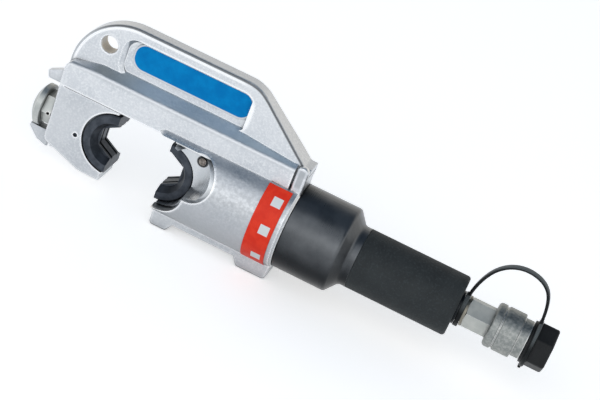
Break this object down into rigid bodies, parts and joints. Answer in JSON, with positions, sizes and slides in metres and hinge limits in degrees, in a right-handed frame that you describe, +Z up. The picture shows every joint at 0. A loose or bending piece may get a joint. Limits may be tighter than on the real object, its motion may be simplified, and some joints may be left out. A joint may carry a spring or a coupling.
{
  "type": "hydraulic crimping head",
  "caption": "Open-jaw hydraulic crimping head: spring-return ram with half-hex dies, latched fixed die, ribbed forged frame, rubber grip and capped screw coupler for a hose.",
  "frame": {"origin": "under the middle of the part's length and width, at the level of the two feet it stands on", "axes": "+X along the ram axis from the jaw towards the hose coupler, +Y across the jaws to the side away from the die lock button, +Z up from the feet to the spine"},
  "size_m": [0.3954, 0.0664, 0.1281],
  "materials": {
    "forged_steel": "satin plated forging",
    "ground_steel": "ground",
    "black_oxide": "black oxide",
    "brown_steel": "tempered brown",
    "spring_steel": "drawn wire",
    "zinc_steel": "dull zinc plate",
    "plated_collar": "bright zinc plate",
    "black_cylinder": "black oxide, semi-gloss",
    "grip_rubber": "matte",
    "cap_rubber": "moulded",
    "seal_rubber": "moulded",
    "white_plastic": "turned",
    "washer_brass": "dull",
    "blue_plate": "printed film with a white border",
    "red_band": "printed film with blank white squares"
  },
  "bodies": {
    "head": {"head_frame": "forged_steel", "fixed_die": "black_oxide", "name_plate_near": "blue_plate", "name_plate_far": "blue_plate", "barrel_band": "red_band", "ram_wiper": "seal_rubber", "guide_screw": "black_oxide", "latch_bush": "zinc_steel", "latch_stop_pin": "black_oxide", "latch_spring": "spring_steel", "cylinder": "black_cylinder", "spring_bolt": "ground_steel", "return_spring": "spring_steel", "grip_sleeve": "grip_rubber", "sealing_washer": "washer_brass", "inlet_nipple": "zinc_steel", "coupler_body": "zinc_steel", "snap_ring": "spring_steel", "socket_seal": "seal_rubber", "poppet_spring": "spring_steel", "cap_strap": "cap_rubber"},
    "ram_set": {"ram": "ground_steel", "moving_die": "black_oxide", "piston_seal": "seal_rubber", "backup_ring": "white_plastic", "wear_ring": "white_plastic", "spring_retainer": "ground_steel", "lock_plunger": "ground_steel", "lock_clip": "black_oxide", "lock_spring": "spring_steel"},
    "die_lock": {"lock_pin": "brown_steel"},
    "die_latch": {"latch_pin": "ground_steel", "latch_knob": "zinc_steel"},
    "collar": {"coupler_collar": "plated_collar"},
    "valve": {"poppet": "ground_steel"},
    "cap": {"dust_cap": "cap_rubber"}
  },
  "joints": [
    {"name": "ram_stroke", "type": "slide", "parent": "head", "child": "ram_set", "axis": [-1, 0, 0], "range_m": [0, 0.0395], "stiffness_N_per_m": 1500, "springref_m": -0.02, "deforming": ["return_spring"]},
    {"name": "fixed_die_latch_pull", "type": "slide", "parent": "head", "child": "die_latch", "axis": [-1, 0, 0], "range_m": [0, 0.005], "stiffness_N_per_m": 1200, "springref_m": -0.004, "deforming": ["latch_spring"]},
    {"name": "die_lock_press", "type": "slide", "parent": "ram_set", "child": "die_lock", "axis": [0, 1, 0], "range_m": [0, 0.005], "stiffness_N_per_m": 600, "springref_m": -0.003, "deforming": ["lock_spring"]},
    {"name": "coupler_collar_turn", "type": "hinge", "parent": "head", "child": "collar", "pos_m": [0.1668, 0, 0.04219], "axis": [1, 0, 0], "continuous": true},
    {"name": "valve_push", "type": "slide", "parent": "head", "child": "valve", "axis": [-1, 0, 0], "range_m": [0, 0.003], "stiffness_N_per_m": 600, "springref_m": -0.003, "deforming": ["poppet_spring"]},
    {"name": "dust_cap_pull", "type": "slide", "parent": "head", "child": "cap", "axis": [1, 0, 0], "range_m": [0, 0.014], "deforming": ["cap_strap"]}
  ]
}
